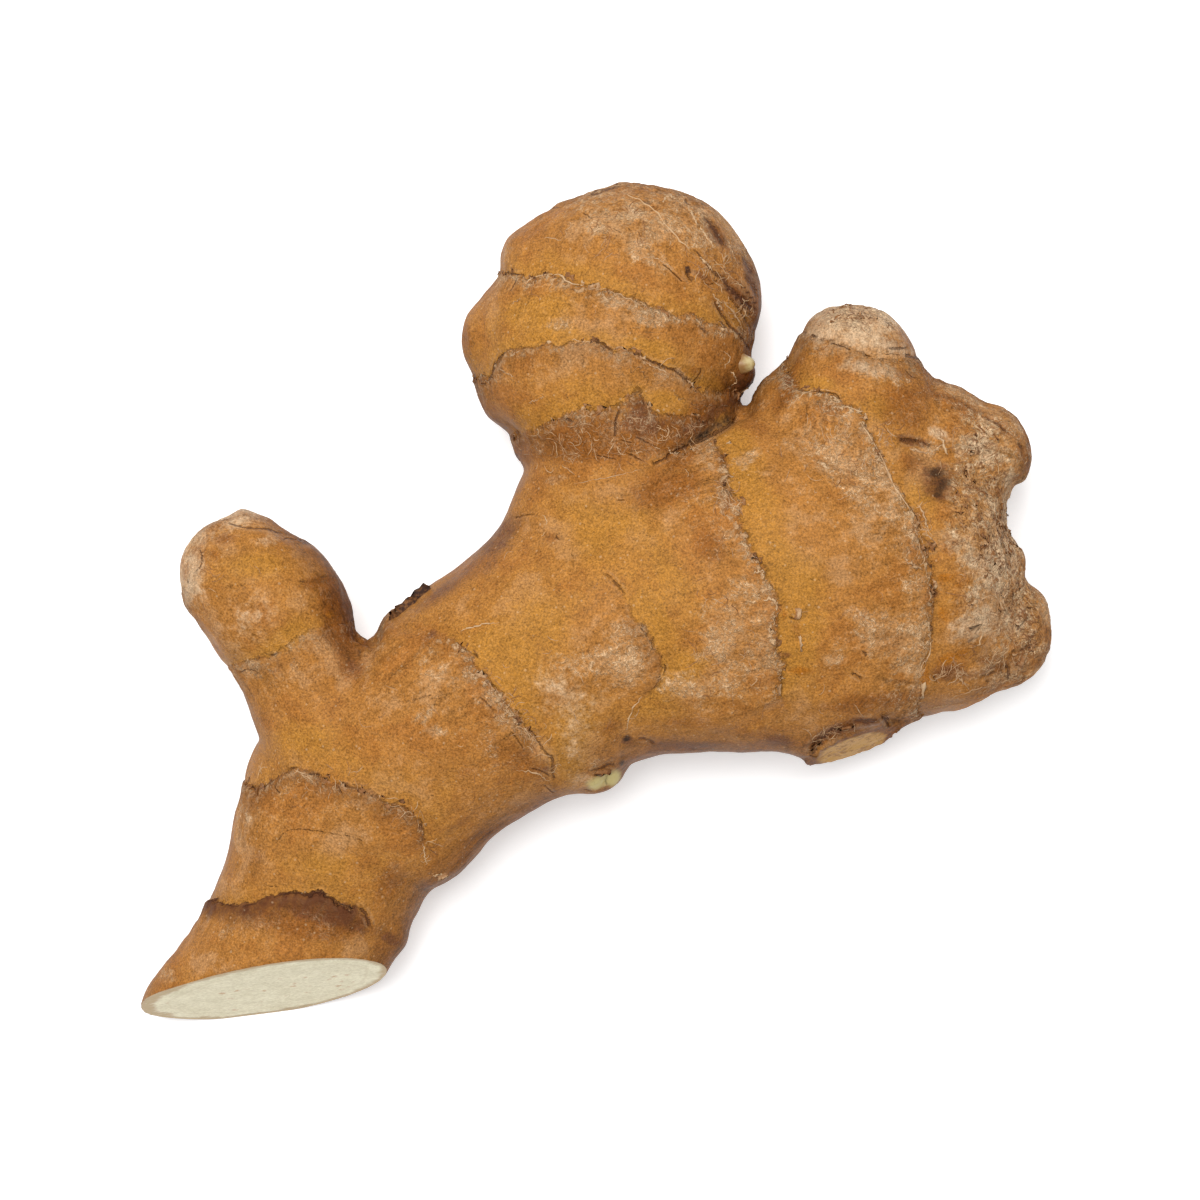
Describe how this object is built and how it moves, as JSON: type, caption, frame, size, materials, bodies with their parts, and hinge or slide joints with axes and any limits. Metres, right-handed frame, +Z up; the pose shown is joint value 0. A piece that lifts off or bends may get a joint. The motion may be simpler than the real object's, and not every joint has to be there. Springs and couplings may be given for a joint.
{
  "type": "ginger root",
  "caption": "Fresh ginger rhizome lying on its side, with short swollen fingers grown from a bent main stem and one slanting knife cut.",
  "frame": {"origin": "bottom centre of the bounding box, on the surface that the rhizome rests on", "axes": "+X along the rhizome's longest extent, from the cut branch to the blunt end; +Y from the cut branch towards the round knob; +Z up from the surface it lies on"},
  "size_m": [0.1305, 0.1207, 0.0377],
  "materials": {
    "skin": "dull golden-brown corky skin with a faint waxy sheen",
    "flesh": "moist, fibrous, pale cream cut flesh"
  },
  "bodies": {
    "root": {"rhizome": "skin"}
  },
  "joints": []
}
